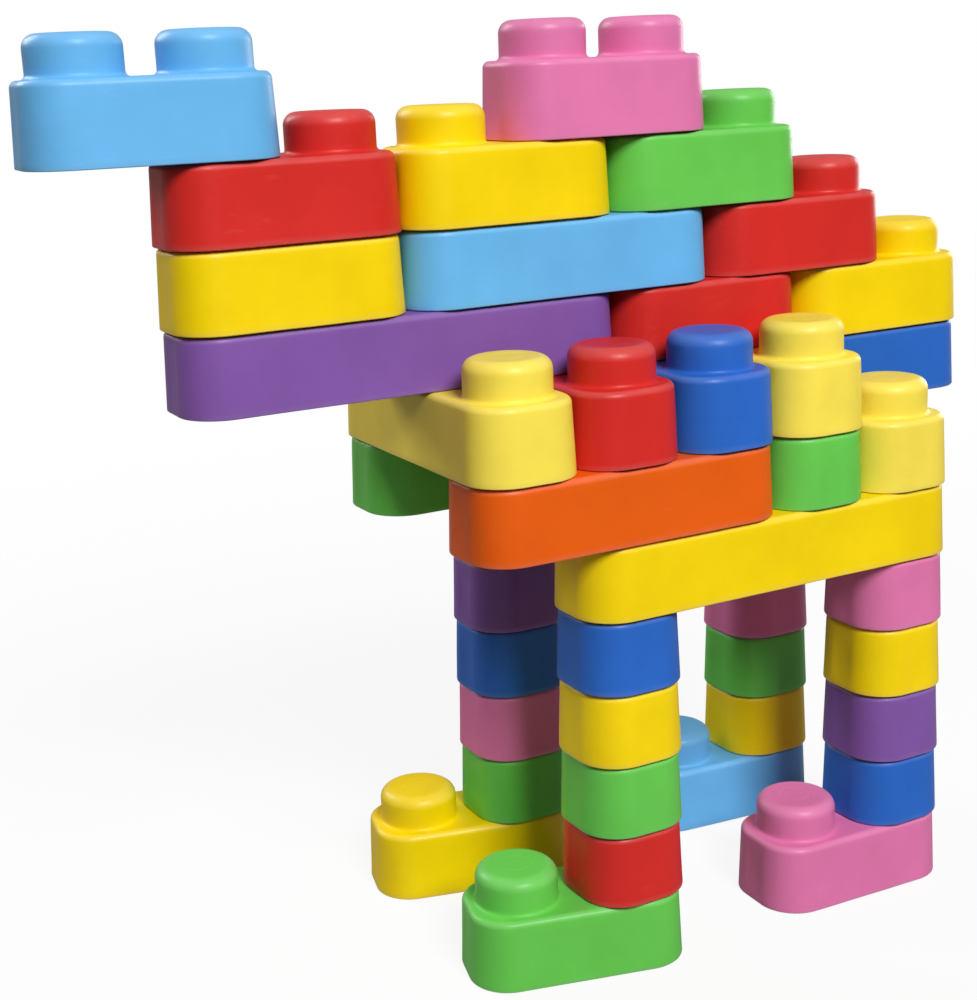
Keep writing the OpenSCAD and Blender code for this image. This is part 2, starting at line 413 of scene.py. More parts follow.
@dataclass(frozen=True)
class BlockSizes:
    """Sizes that all blocks of the system share, in metres.

    Attributes:
        pitch: Distance from one stud to the next.
        course: Height of a block without its studs.
        stud_r: Radius of a stud.
        stud_h: Height of a stud.
        socket_r: Inner radius of a socket ring.
        side_gap: Gap between a block's side and the grid line.
        corner_r: Plan radius of the corners, at the bottom.
        wall_lean: How far a wall leans in over the course.
        wall_sink: How far a wall sinks in at its middle.
        top_edge_r: Rounding of the edge between walls and top.
        rim_r: Rounding of the lower rim.
        shell: Thickness of the moulded shell.
        stud_edge_r: Rounding of a stud's top edge.
        stud_root_r: Hollow rounding at the foot of a stud.
        stud_flat_inset: How far the last row on a stud's flat lies inside its rounded edge.
        hollow_straight: How far the straight wall of a stud's hollow rises above the block's top.
        mark_r: Radius of the ring mark on a stud.
        mark_w: Width of the ring mark.
        mark_depth: Depth of the ring mark.
        mark_slope: Plan width of a sloping side of the ring mark.
        ring_wall: Thickness of a socket ring.
        web: Thickness of the webs between rings and walls.
        mouth: Chamfer at the mouth of a socket.
        ring_lift: How far a socket ring stops short of the rim, clear of a stud's root.
        ring_rise: How far a socket ring rises into the ceiling.
        web_rise: How far a web rises into the ceiling.
        web_bite: Least depth to which a web bites into a ring.
        waviness: Depth of the uneven cooling of the soft plastic.
    """

    pitch: float
    course: float
    stud_r: float
    stud_h: float
    socket_r: float
    side_gap: float = 0.0003
    corner_r: float = 0.037
    wall_lean: float = 0.0026
    wall_sink: float = 0.0007
    top_edge_r: float = 0.006
    rim_r: float = 0.0013
    shell: float = 0.004
    stud_edge_r: float = 0.011
    stud_root_r: float = 0.0035
    stud_flat_inset: float = 0.003
    hollow_straight: float = 0.006
    mark_r: float = 0.014
    mark_w: float = 0.002
    mark_depth: float = 0.0003
    mark_slope: float = 0.0006
    ring_wall: float = 0.004
    web: float = 0.003
    mouth: float = 0.0025
    ring_lift: float = 0.0005
    ring_rise: float = 0.001
    web_rise: float = 0.0005
    web_bite: float = 0.00075
    waviness: float = 0.0005

    @classmethod
    def from_frame(cls) -> "BlockSizes":
        """Reads the grid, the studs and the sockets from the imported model.

        The pitch is the distance between the hump cap's two studs. The course is the step from one leg block
        to the next, less the seat gap, and what the hump cap has above its course is the height of its studs.

        Returns:
            The sizes.
        """
        front, rear = (mount(f"stud_hump_cap_{end}") for end in ("front", "rear"))
        lower, upper = (joint_place(f"left_fore_leg_{step}_swivel") for step in (1, 2))
        course = upper[2] - lower[2] - SEAT_GAP
        low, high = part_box("hump_cap")
        return cls(pitch=(Vector(rear["pos_m"]) - Vector(front["pos_m"])).length, course=course,
                   stud_r=front["dims"]["r_mm"] / MM_PER_M,
                   stud_h=high[2] - low[2] - course,
                   socket_r=mount("socket_head")["dims"]["r_mm"] / MM_PER_M)

    @property
    def core(self) -> float:
        """Half width of the straight core between two round corners."""
        return self.pitch / 2 - self.side_gap - self.corner_r

    @property
    def slope(self) -> float:
        """Lean of a wall per metre of height."""
        return self.wall_lean / self.course

    @property
    def shoulder(self) -> float:
        """Height at which a wall ends and its rounded top edge begins."""
        return self.course - self.top_edge_r

    @property
    def top_reach(self) -> float:
        """Reach of the flat top, up to its rounded edge."""
        return self.corner_r - self.slope * self.shoulder - self.top_edge_r

    @property
    def ceiling(self) -> float:
        """Height of the cavity's ceiling."""
        return self.course - self.shell

    @property
    def ceiling_reach(self) -> float:
        """Reach of the cavity's ceiling."""
        return self.corner_r - self.shell - self.slope * self.ceiling

    @property
    def stud_top(self) -> float:
        """Height of a stud's flat above the block's lower rim."""
        return self.course + self.stud_h


# Arrays of points and faces

def unit_circle(angle: np.ndarray) -> np.ndarray:
    """Cosine and sine of each angle, one row each."""
    return np.stack([np.cos(angle), np.sin(angle)], axis=1)


def arc(middle: tuple, radius: float, start: float, end: float, steps: int) -> np.ndarray:
    """Points of an arc in a section plane, middle + radius * (cos, sin).

    Args:
        middle: The arc's middle, as distance and height.
        radius: Its radius.
        start: First angle in degrees.
        end: Last angle in degrees.
        steps: Number of steps between them.

    Returns:
        The points, one row each.
    """
    return np.array(middle) + radius * unit_circle(np.radians(np.linspace(start, end, steps + 1)))


def line(start: np.ndarray, end: np.ndarray, steps: int) -> np.ndarray:
    """Points of a straight run in a section plane, from just after start to just before end."""
    share = np.linspace(0.0, 1.0, steps + 1)[1:-1, None]
    return start + share * (end - start)


def columns_of(*values: Union[np.ndarray, float]) -> np.ndarray:
    """Values spread over one another, as the columns of one array."""
    return np.stack([np.asarray(spread, float) for spread in np.broadcast_arrays(*values)], axis=1)


def raised(plan: np.ndarray, height: Union[np.ndarray, float]) -> np.ndarray:
    """Points over a grid of plan points, one row each, with heights that are spread over the grid."""
    spread = np.broadcast_to(height, plan.shape[:2])
    return np.concatenate([plan, spread[:, :, None]], axis=2).reshape(-1, 3)


def grid_quads(rows: int, columns: int, ring: bool = False) -> np.ndarray:
    """Faces of a grid of points whose columns go round, and whose rows do so too where it is a ring.

    Args:
        rows: Number of rows.
        columns: Number of points in a row.
        ring: True where the last row is joined to the first.

    Returns:
        Four vertex numbers for each face, by row and column.
    """
    row, column = np.arange(rows if ring else rows - 1)[:, None], np.arange(columns)
    next_row, next_column = (row + 1) % rows, (column + 1) % columns
    return np.stack([row * columns + column, next_row * columns + column,
                     next_row * columns + next_column, row * columns + next_column], axis=2)


@dataclass(frozen=True)
class CellLoop:
    """Outline of one stud's share of a block: a closed run of columns, seen from above, anticlockwise.

    A plan point is core + reach * out, so one loop serves every height of the wall.

    Attributes:
        core: Where each column starts, on the straight core.
        out: The direction in which it reaches out.
        walled: True where a wall stands, False where the next share begins.
    """

    core: np.ndarray
    out: np.ndarray
    walled: np.ndarray

    def at(self, reach: float) -> np.ndarray:
        """Plan points at that reach."""
        return self.core + reach * self.out


@dataclass(frozen=True)
class MeshParts:
    """Arrays of one closed surface.

    Attributes:
        points: Vertex places.
        quads: Four-sided faces.
        triangles: Three-sided faces.
        wear_and_highlight: Edge wear and painted highlight of each vertex, from 0 to 1.
    """

    points: np.ndarray
    quads: np.ndarray
    triangles: np.ndarray
    wear_and_highlight: np.ndarray

    @classmethod
    def unmarked(cls, points: np.ndarray, quads: np.ndarray) -> "MeshParts":
        """A surface of quads without edge wear or painted highlight."""
        return cls(points, quads.reshape(-1, 4), NO_TRIANGLES, np.zeros(len(points)))

    @classmethod
    def joined(cls, parts: list["MeshParts"]) -> "MeshParts":
        """Several surfaces as one, with their vertex numbers moved on.

        Args:
            parts: The surfaces.

        Returns:
            The one surface.
        """
        starts = np.cumsum([0] + [len(part.points) for part in parts[:-1]])
        return cls(np.concatenate([part.points for part in parts]),
                   np.concatenate([part.quads + start for part, start in zip(parts, starts)]),
                   np.concatenate([part.triangles + start for part, start in zip(parts, starts)]),
                   np.concatenate([part.wear_and_highlight for part in parts]))

    def merged(self) -> "MeshParts":
        """The surface with equal points made one, and quads that lost a corner made triangles.

        Returns:
            The merged surface, without points that no face uses.
        """
        _, first, place = np.unique(np.round(self.points, MERGE_DECIMALS), axis=0,
                                    return_index=True, return_inverse=True)
        quads = place.reshape(-1)[self.quads]
        triangles = place.reshape(-1)[self.triangles]
        top_point = quads[:, 0] == quads[:, 3]
        low_point = quads[:, 1] == quads[:, 2]
        whole = ~(top_point | low_point)
        fans = np.concatenate([triangles, quads[top_point][:, :3], quads[low_point][:, [0, 1, 3]]])
        used, inverse = np.unique(np.concatenate([quads[whole].ravel(), fans.ravel()]), return_inverse=True)
        count = 4 * int(whole.sum())
        keep = first[used]
        return MeshParts(self.points[keep], inverse.reshape(-1)[:count].reshape(-1, 4),
                         inverse.reshape(-1)[count:].reshape(-1, 3), self.wear_and_highlight[keep])

    def normals(self) -> np.ndarray:
        """Vertex normals: the sum of the face normals around each vertex, made one long.

        Returns:
            One normal for each vertex.
        """
        total = np.zeros_like(self.points)
        for faces in (self.quads, self.triangles):
            a, b, c = (self.points[faces[:, i]] for i in range(3))
            d = self.points[faces[:, -1]]
            face = np.cross(c - a, d - b) if faces.shape[1] == 4 else np.cross(b - a, c - a)
            for corner in range(faces.shape[1]):
                np.add.at(total, faces[:, corner], face)
        return total / np.maximum(np.linalg.norm(total, axis=1, keepdims=True), LEAST_LENGTH)

    def to_mesh(self, name: str) -> bpy.types.Mesh:
        """The surface as a smooth mesh, sharp only at steep folds, with its edge wear and painted highlight
        as an attribute.

        Args:
            name: The mesh's name.

        Returns:
            The mesh.
        """
        corners = np.concatenate([self.quads.ravel(), self.triangles.ravel()])
        starts = np.concatenate([np.arange(len(self.quads)) * 4,
                                 self.quads.size + np.arange(len(self.triangles)) * 3])
        made = bpy.data.meshes.new(name)
        made.vertices.add(len(self.points))
        made.vertices.foreach_set("co", self.points.astype(np.float32).ravel())
        made.loops.add(len(corners))
        made.loops.foreach_set("vertex_index", corners.astype(np.int32))
        made.polygons.add(len(starts))
        made.polygons.foreach_set("loop_start", starts.astype(np.int32))
        made.update(calc_edges=True)
        made.shade_smooth()
        made.set_sharp_from_angle(angle=SHARP_ANGLE)
        wear_and_highlight = made.attributes.new(EDGE_WEAR_AND_HIGHLIGHT, "FLOAT", "POINT")
        wear_and_highlight.data.foreach_set("value", self.wear_and_highlight.astype(np.float32))
        return made


# Skin of a block

@dataclass(frozen=True)
class BlockSkin:
    """Works out the surface of a block of some units, first stud over the origin, the others along +X.

    Attributes:
        sizes: The system's sizes.
        flat_steps: Steps along the short straight of a side.
        run_steps: Steps from that straight to the next share.
        arc_steps: Steps around a corner.
        edge_steps: Steps across the line between two shares.
        ring_steps: Steps around a socket ring.
        stud_edge_steps: Steps over a stud's rounded edge.
        stud_wall_steps: Steps down a stud's wall.
        stud_root_steps: Steps round the foot of a stud.
        top_edge_steps: Steps over the rounded top edge.
        wall_steps: Steps down the outside of a wall.
        rim_steps: Steps round each half of the lower rim.
        inside_steps: Steps up the inside of a wall.
        hollow_steps: Steps over the rounding in a stud's hollow.
        top_shares: Rows on the flat top, as shares of the way from stud to edge.
        ceiling_shares: Rows on the ceiling, as shares of the way from a stud's hollow to the wall.
        stud_wear_and_highlight_start: Angle at which the sine of a stud edge's wear and painted highlight
            starts.
        top_wear_and_highlight_start: Angle at which the sine of the top edge's wear and painted highlight
            starts.
        rim_wear_and_highlight: Wear and painted highlight line of the lower rim.
        sink_power: Power by which a wall's sink fades towards its ends.
    """

    sizes: BlockSizes
    flat_steps: int = 6
    run_steps: int = 8
    arc_steps: int = 14
    edge_steps: int = 20
    ring_steps: int = 56
    stud_edge_steps: int = 10
    stud_wall_steps: int = 5
    stud_root_steps: int = 5
    top_edge_steps: int = 8
    wall_steps: int = 12
    rim_steps: int = 3
    inside_steps: int = 4
    hollow_steps: int = 4
    top_shares: tuple = (0.3, 0.65, 1.0)
    ceiling_shares: tuple = (1.0, 0.5)
    stud_wear_and_highlight_start: float = 0.15
    top_wear_and_highlight_start: float = 0.5
    rim_wear_and_highlight: float = 0.8
    sink_power: int = 4

    def loop(self, open_front: bool, open_rear: bool) -> CellLoop:
        """Lays out the columns around one stud.

        A closed end is a straight between two quarter circles. An open end is the line to the next stud's
        share: its columns reach out sideways only, by less towards the middle, so that both shares meet.

        Args:
            open_front: True where another share follows towards -X.
            open_rear: True where another share follows towards +X.

        Returns:
            The loop.
        """
        half, core = self.sizes.pitch / 2, self.sizes.core
        across = np.linspace(-1.0, 1.0, self.edge_steps, endpoint=False)
        straight = np.linspace(-core, core, self.flat_steps, endpoint=False)
        run = np.linspace(half, core, self.run_steps, endpoint=False)
        turn = np.linspace(0.0, math.pi / 2, self.arc_steps, endpoint=False)
        empty = run[:0]
        plus_y_side = np.concatenate([run if open_rear else empty, -straight,
                                      -core - (half - run) if open_front else empty])
        minus_y_side = np.concatenate([-run if open_front else empty, straight,
                                       core + (half - run) if open_rear else empty])
        corner_only = np.arange(self.edge_steps) == 0

        def corner(x: float, y: float, start: float) -> np.ndarray:
            """The columns of one round corner."""
            return columns_of(x, y, np.cos(turn + start), np.sin(turn + start), True)

        columns = []
        if open_rear:
            columns += [columns_of(half, across * core, 0.0, across, corner_only)]
        else:
            columns += [columns_of(core, straight, 1.0, 0.0, True), corner(core, core, 0.0)]
        columns += [columns_of(plus_y_side, core, 0.0, 1.0, True)]
        if open_front:
            columns += [columns_of(-half, -across * core, 0.0, -across, corner_only)]
        else:
            columns += [corner(-core, core, math.pi / 2), columns_of(-core, -straight, -1.0, 0.0, True),
                        corner(-core, -core, math.pi)]
        columns += [columns_of(minus_y_side, -core, 0.0, -1.0, True)]
        if not open_rear:
            columns += [corner(core, -core, 1.5 * math.pi)]
        whole = np.concatenate(columns)
        return CellLoop(whole[:, 0:2], whole[:, 2:4], whole[:, 4].astype(bool))

    def stud_profile(self) -> tuple:
        """Section of a stud from its middle down to the block's top.

        A flat with a shallow ring groove, a quarter round edge, a straight wall and a hollow quarter round
        at the foot. The second array is the wear and painted highlight of each row: a sine over the rounded
        edge.

        Returns:
            The rows as distance and height, and their wear and painted highlight.
        """
        s = self.sizes
        top, groove = s.stud_top, s.stud_top - s.mark_depth
        inner, outer = s.mark_r - s.mark_w / 2, s.mark_r + s.mark_w / 2
        flat_r = s.stud_r - s.stud_edge_r
        flat = np.array([(0.0, top), (inner - s.mark_slope, top), (inner, top),
                         (inner + s.mark_slope, groove), (outer - s.mark_slope, groove),
                         (outer, top), (outer + s.mark_slope, top), (flat_r - s.stud_flat_inset, top)])
        edge = arc((flat_r, top - s.stud_edge_r), s.stud_edge_r, 90.0, 0.0, self.stud_edge_steps)
        root = arc((s.stud_r + s.stud_root_r, s.course + s.stud_root_r), s.stud_root_r, 180.0, 270.0,
                   self.stud_root_steps)
        wall = line(edge[-1], root[0], self.stud_wall_steps)
        wear_and_highlight = np.concatenate([np.zeros(len(flat)),
                               np.sin(np.linspace(self.stud_wear_and_highlight_start, math.pi, len(edge))),
                               np.zeros(len(wall) + len(root))])
        return np.concatenate([flat, edge, wall, root]), wear_and_highlight

    def wall_profile(self) -> tuple:
        """Section of the wall from just past the top's edge to the cavity's ceiling.

        A quarter round top edge, the leaning outside, a small round rim and the leaning inside. The second
        array is the wear and painted highlight of each row, with a painted highlight line along the rim, the
        third the share of the sink: half a sine over the outside.

        Returns:
            The rows as reach and height, their wear and painted highlight, and their sink.
        """
        s = self.sizes
        inner = s.corner_r - s.shell
        edge = arc((s.top_reach, s.shoulder), s.top_edge_r, 90.0, 0.0, self.top_edge_steps)[1:]
        rim = arc((s.corner_r - s.rim_r, s.rim_r), s.rim_r, 0.0, -90.0, self.rim_steps)
        inner_rim = arc((inner + s.rim_r, s.rim_r), s.rim_r, -90.0, -180.0, self.rim_steps)
        wall = line(edge[-1], rim[0], self.wall_steps)
        inside = line(inner_rim[-1], np.array((s.ceiling_reach, s.ceiling)), self.inside_steps)
        rows = np.concatenate([edge, wall, rim, inner_rim, inside])
        # Wear and painted highlight over the top edge, and a painted highlight line along the lower rim
        wear_and_highlight = np.concatenate([np.sin(np.linspace(self.top_wear_and_highlight_start, math.pi, len(edge))),
                               np.zeros(len(wall)), np.full(len(rim), self.rim_wear_and_highlight),
                               np.zeros(len(inner_rim) + len(inside))])
        sink = np.zeros(len(rows))
        sink[len(edge):len(edge) + len(wall)] = np.sin(math.pi * wall[:, 1] / s.shoulder)
        return rows, wear_and_highlight, sink

    def hollow_profile(self) -> np.ndarray:
        """Section of the hollow in a stud: a straight wall and a quarter round, up to a flat.

        Returns:
            The rows as distance and height, from the cavity's ceiling up to the stud's middle.
        """
        s = self.sizes
        radius, edge = s.stud_r - s.shell, s.stud_edge_r - s.shell
        top = s.stud_top - s.shell
        wall = np.array([(radius, s.ceiling), (radius, s.course + s.hollow_straight)])
        curve = arc((radius - edge, top - edge), edge, 0.0, 90.0, self.hollow_steps)
        return np.concatenate([wall, curve, np.array([(0.0, top)])])

    def sink_share(self, loop: CellLoop, index: int, units: int) -> np.ndarray:
        """Share of the sink that each column takes: 1 less a power of its place along the wall.

        The place runs from -1 to 1 between the corners of the whole block, and corners don't sink.

        Args:
            loop: The columns.
            index: Which unit of the block this is.
            units: How many the block has.

        Returns:
            One share for each column.
        """
        s = self.sizes
        middle_x = ((units - 1) / 2 - index) * s.pitch
        along = (loop.core[:, 0] - middle_x) / (s.core + (units - 1) * s.pitch / 2)
        across = loop.core[:, 1] / s.core
        endways, sideways = np.abs(loop.out.T) > STRAIGHT_OUT
        ends = np.where(endways, 1 - across ** self.sink_power, 0.0)
        return np.where(sideways, 1 - along ** self.sink_power, ends)

    def share(self, index: int, units: int) -> MeshParts:
        """One stud's share of the skin, as one grid of rows by columns.

        The rows run from the stud's middle over its edge, across the top, down the wall, round the rim, up
        the inside, across the ceiling and up the stud's hollow. On the flats a row is a blend between a
        circle and the outline. Where the next share begins, the wall's rows are left out.

        Args:
            index: Which unit of the block this is.
            units: How many the block has.

        Returns:
            The share, with its points in the block's place.
        """
        s = self.sizes
        loop = self.loop(index > 0, index < units - 1)
        top_plan, ceiling_plan = loop.at(s.top_reach), loop.at(s.ceiling_reach)
        circle = unit_circle(np.arctan2(top_plan[:, 1], top_plan[:, 0]))
        stud, stud_wear_and_highlight = self.stud_profile()
        wall, wall_wear_and_highlight, wall_sink = self.wall_profile()
        hollow = self.hollow_profile()

        stud_rows = stud[:, 0, None, None] * circle
        top_share = np.array(self.top_shares)[:, None, None]
        top_rows = (1 - top_share) * stud[-1, 0] * circle + top_share * top_plan
        sink = s.wall_sink * wall_sink[:, None] * self.sink_share(loop, index, units)
        wall_rows = loop.core + (wall[:, 0, None] - sink)[:, :, None] * loop.out
        ceiling_share = np.array(self.ceiling_shares)[:, None, None]
        ceiling_rows = (1 - ceiling_share) * hollow[0, 0] * circle + ceiling_share * ceiling_plan
        hollow_rows = hollow[:, 0, None, None] * circle

        plan = np.concatenate([stud_rows, top_rows, wall_rows, ceiling_rows, hollow_rows])
        height = np.concatenate([stud[:, 1], np.full(len(top_rows), s.course), wall[:, 1],
                                 np.full(len(ceiling_rows), s.ceiling), hollow[:, 1]])
        # Edge wear and painted highlight of each row
        wear_and_highlight = np.concatenate([stud_wear_and_highlight, np.zeros(len(top_rows)), wall_wear_and_highlight,
                               np.zeros(len(ceiling_rows) + len(hollow_rows))])
        rows, columns = plan.shape[:2]
        points = raised(plan + np.array([index * s.pitch, 0.0]), height[:, None])

        wall_start = len(stud_rows) + len(top_rows) - 1
        wall_end = wall_start + len(wall_rows) + 1
        row = np.arange(rows - 1)
        on_wall = (row >= wall_start) & (row < wall_end)
        kept = ~on_wall[:, None] | (loop.walled & np.roll(loop.walled, -1))
        return MeshParts(points, grid_quads(rows, columns)[kept], NO_TRIANGLES, np.repeat(wear_and_highlight, columns))

    def socket_ring(self, index: int) -> MeshParts:
        """One socket ring: a closed section with a chamfered mouth, turned about the stud's axis.

        Args:
            index: Which unit of the block it stands in.

        Returns:
            The ring.
        """
        s = self.sizes
        inner, outer = s.socket_r, s.socket_r + s.ring_wall
        low, top = s.ring_lift, s.ceiling + s.ring_rise
        section = np.array([(inner, low + s.mouth), (inner, top), (outer, top), (outer, low),
                            (inner + s.mouth, low)])
        circle = unit_circle(np.linspace(0.0, 2 * math.pi, self.ring_steps, endpoint=False))
        plan = section[:, 0, None, None] * circle + np.array([index * s.pitch, 0.0])
        return MeshParts.unmarked(raised(plan, section[:, 1, None]), grid_quads(*plan.shape[:2], ring=True))

    def web_plates(self, units: int) -> MeshParts:
        """The webs between rings and walls, as boxes given by their middles and half sizes.

        Args:
            units: How many studs the block has.

        Returns:
            The boxes.
        """
        s = self.sizes
        ring = s.socket_r + s.ring_wall
        wall = s.pitch / 2 - s.side_gap - s.shell + s.waviness
        thick = s.web / 2
        reach = (wall - ring) / 2 + s.web_bite
        middle = (wall + ring) / 2 - s.web_bite
        stud_x = np.arange(units) * s.pitch
        plates = np.concatenate([
            columns_of(stud_x, -middle, thick, reach),
            columns_of(stud_x, middle, thick, reach),
            columns_of(np.array([-middle, stud_x[-1] + middle]), 0.0, reach, thick),
            columns_of(stud_x[1:] - s.pitch / 2, 0.0, s.pitch / 2 - ring + s.web_bite, thick),
        ])
        corner = np.array([(x, y, z) for z in (0, 1) for y in (-1, 1) for x in (-1, 1)], float)
        sides = np.array([(0, 2, 3, 1), (4, 5, 7, 6), (0, 1, 5, 4), (2, 6, 7, 3), (0, 4, 6, 2), (1, 3, 7, 5)])
        top = s.ceiling + s.web_rise
        plan = plates[:, None, 0:2] + corner[:, 0:2] * plates[:, None, 2:4]
        points = raised(plan, s.rim_r + corner[:, 2] * (top - s.rim_r))
        return MeshParts.unmarked(points, np.arange(len(plates))[:, None, None] * len(corner) + sides)

    def build(self, units: int) -> MeshParts:
        """The whole block.

        Args:
            units: How many studs it has.

        Returns:
            Its skin, rings and webs.
        """
        skin = MeshParts.joined([self.share(index, units) for index in range(units)]).merged()
        return MeshParts.joined([skin, *(self.socket_ring(index) for index in range(units)),
                                 self.web_plates(units)])


def uneven(points: np.ndarray, seed: int) -> np.ndarray:
    """Slow waves from 0 to 1: the mean of sines along some seeded directions.

    Args:
        points: Where to take them.
        seed: Which waves to use.

    Returns:
        One value for each point.
    """
    chance = np.random.default_rng(seed)
    ways = chance.normal(size=(WAVE_COUNT, 3))
    ways /= np.linalg.norm(ways, axis=1, keepdims=True)
    ways *= 2 * math.pi / chance.uniform(*WAVE_LENGTHS, size=(WAVE_COUNT, 1))
    phase = chance.uniform(0.0, 2 * math.pi, WAVE_COUNT)
    return 0.5 + 0.5 * np.sin(points @ ways.T + phase).mean(axis=1)


# Blocks and sub-assemblies

def placed(name: str, data: bpy.types.ID) -> bpy.types.Object:
    """Makes an object of that data at the origin and links it to the scene.

    Args:
        name: The object's name.
        data: Its mesh, lamp or camera.

    Returns:
        The object.
    """
    made = bpy.data.objects.new(name, data)
    bpy.context.scene.collection.objects.link(made)
    return made


@dataclass(frozen=True)
class Block:
    """One block in its place on the camel.

    Attributes:
        node: The CAD node that it stands for.
        tone: Its colour.
        units: How many studs it has.
        first: Place of its first stud on the floor plan.
        heading: Direction of the others, in radians from +X.
        base: Height of its lower rim.
    """

    node: str
    tone: Tone
    units: int
    first: tuple
    heading: float
    base: float

    @classmethod
    def on_grid(cls, node: str, tone: Tone, sizes: BlockSizes) -> "Block":
        """A block in line with the grid, placed by its node's box.

        Args:
            node: The CAD node.
            tone: The block's colour.
            sizes: The system's sizes.

        Returns:
            The block.
        """
        low, high = (Vector(corner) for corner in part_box(node))
        extent = high - low
        inset = sizes.pitch / 2 - sizes.side_gap
        units = round(max(extent.x, extent.y) / sizes.pitch)
        heading = 0.0 if extent.x >= extent.y else math.pi / 2
        return cls(node, tone, units, (low.x + inset, low.y + inset), heading, low.z)

    @classmethod
    def on_stud(cls, node: str, tone: Tone, joint: str, free_stud: str) -> "Block":
        """A two-unit block that is turned on one stud, placed by its joint and its free stud.

        Args:
            node: The CAD node.
            tone: The block's colour.
            joint: The joint on whose axis it turns.
            free_stud: The mount of its other stud.

        Returns:
            The block.
        """
        pivot, free = joint_place(joint), mount(free_stud)["pos_m"]
        heading = math.atan2(pivot[1] - free[1], pivot[0] - free[0])
        return cls(node, tone, 2, (free[0], free[1]), heading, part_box(node)[0][2])

    def make(self, skin: BlockSkin, finish: bpy.types.Material, seed: int) -> bpy.types.Object:
        """Makes the block's object: its points sink in by slow waves, then turn and move into place.

        Args:
            skin: The surface maker.
            finish: The block's material.
            seed: Which waves it gets.

        Returns:
            The object.
        """
        parts = skin.build(self.units)
        depth = skin.sizes.waviness * uneven(parts.points, seed)
        local = parts.points - parts.normals() * depth[:, None]
        turn = np.array([(math.cos(self.heading), -math.sin(self.heading)),
                         (math.sin(self.heading), math.cos(self.heading))])
        plan = local[:, :2] @ turn.T + np.array(self.first)
        points = np.concatenate([plan, local[:, 2:] + self.base], axis=1)
        mesh = replace(parts, points=points).to_mesh(f"{self.node}_skin")
        mesh.materials.append(finish)
        return placed(f"{self.node}_skin", mesh)


@dataclass(frozen=True)
class SubAssembly:
    """Blocks that belong together; each kind of sub-assembly says which they are.

    Attributes:
        sizes: The system's sizes.
        finishes: The material of each tone.
    """

    sizes: BlockSizes
    finishes: dict[Tone, bpy.types.Material]

    def blocks(self) -> list[Block]:
        """The blocks of this sub-assembly."""
        raise NotImplementedError

    def row(self, tones: dict[str, Tone]) -> list[Block]:
        """Blocks in line with the grid, from their nodes and tones."""
        return [Block.on_grid(node, tone, self.sizes) for node, tone in tones.items()]

    def build(self) -> list[bpy.types.Object]:
        """Makes every block, lets it stand for its node and ride on its node's body.

        Returns:
            The objects.
        """
        bodies = frame["record"]["behaviour"]["bodies"]
        body_of = {node: body for body, nodes in bodies.items() for node in nodes}
        skin = BlockSkin(self.sizes)
        made = []
        for block in self.blocks():
            piece = block.make(skin, self.finishes[block.tone], seed=sum(map(ord, block.node)))
            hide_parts(block.node)
            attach(piece, body_of[block.node])
            log.info("%s: %d units, %s", piece.name, block.units, block.tone.slot)
            made.append(piece)
        return made


@dataclass(frozen=True)
class Leg(SubAssembly):
    """One leg: a two-unit foot and four one-unit blocks on it.

    Attributes:
        side: Which side of the camel it stands on.
        end: Which end it stands under.
        foot: Colour of the foot.
        stack: Colours of the leg blocks, from the foot up.
    """

    side: Side
    end: End
    foot: Tone
    stack: tuple[Tone, ...]

    def blocks(self) -> list[Block]:
        """The foot, turned on its stud, and the stack above it.

        Returns:
            The blocks, from the floor up.
        """
        name = f"{self.side.value}_{self.end.value}"
        foot = Block.on_stud(f"{name}_foot", self.foot, f"{name}_foot_swivel", f"stud_{name}_toe")
        return [foot, *self.row({f"{name}_leg_{step}": tone for step, tone in enumerate(self.stack, 1)})]


@dataclass(frozen=True)
class Barrel(SubAssembly):
    """The body above the legs: belly and shoulder beams on both sides, tied by the crossbars."""

    def blocks(self) -> list[Block]:
        """Belly, shoulder and crossbar courses.

        Returns:
            The blocks.
        """
        return self.row({
            "left_belly_beam": Tone.YELLOW, "right_belly_beam": Tone.YELLOW,
            "left_shoulder_beam": Tone.ORANGE, "right_shoulder_beam": Tone.GREEN,
            "left_flank_block": Tone.GREEN, "right_flank_block": Tone.GREEN,
            "rump_crossbar": Tone.LIGHT_YELLOW, "chest_crossbar": Tone.LIGHT_YELLOW,
            "fore_crossbar": Tone.RED, "mid_crossbar": Tone.BLUE, "loin_crossbar": Tone.LIGHT_YELLOW,
        })


@dataclass(frozen=True)
class Back(SubAssembly):
    """The spine on the crossbars, with the tail behind it."""

    def blocks(self) -> list[Block]:
        """Neck beam, back and tail.

        Returns:
            The blocks.
        """
        return self.row({
            "neck_beam": Tone.PURPLE, "back_block": Tone.RED,
            "tail_lower_block": Tone.BLUE, "tail_upper_block": Tone.YELLOW,
        })


@dataclass(frozen=True)
class Hump(SubAssembly):
    """The hump: three courses that step in to a cap of two units."""

    def blocks(self) -> list[Block]:
        """The hump's courses and its cap.

        Returns:
            The blocks.
        """
        return self.row({
            "hump_base_beam": Tone.LIGHT_BLUE, "hump_rear_block": Tone.RED, "hump_front_block": Tone.YELLOW,
            "hump_mid_block": Tone.GREEN, "hump_cap": Tone.PINK,
        })


@dataclass(frozen=True)
class Neck(SubAssembly):
    """Two neck blocks and the head, which is turned on the neck's front stud."""

    def blocks(self) -> list[Block]:
        """The neck and the head."""
        head = Block.on_stud("head_block", Tone.LIGHT_BLUE, "head_turn", "stud_head_front")
        return [*self.row({"neck_lower_block": Tone.YELLOW, "neck_upper_block": Tone.RED}), head]


# Studio and camera

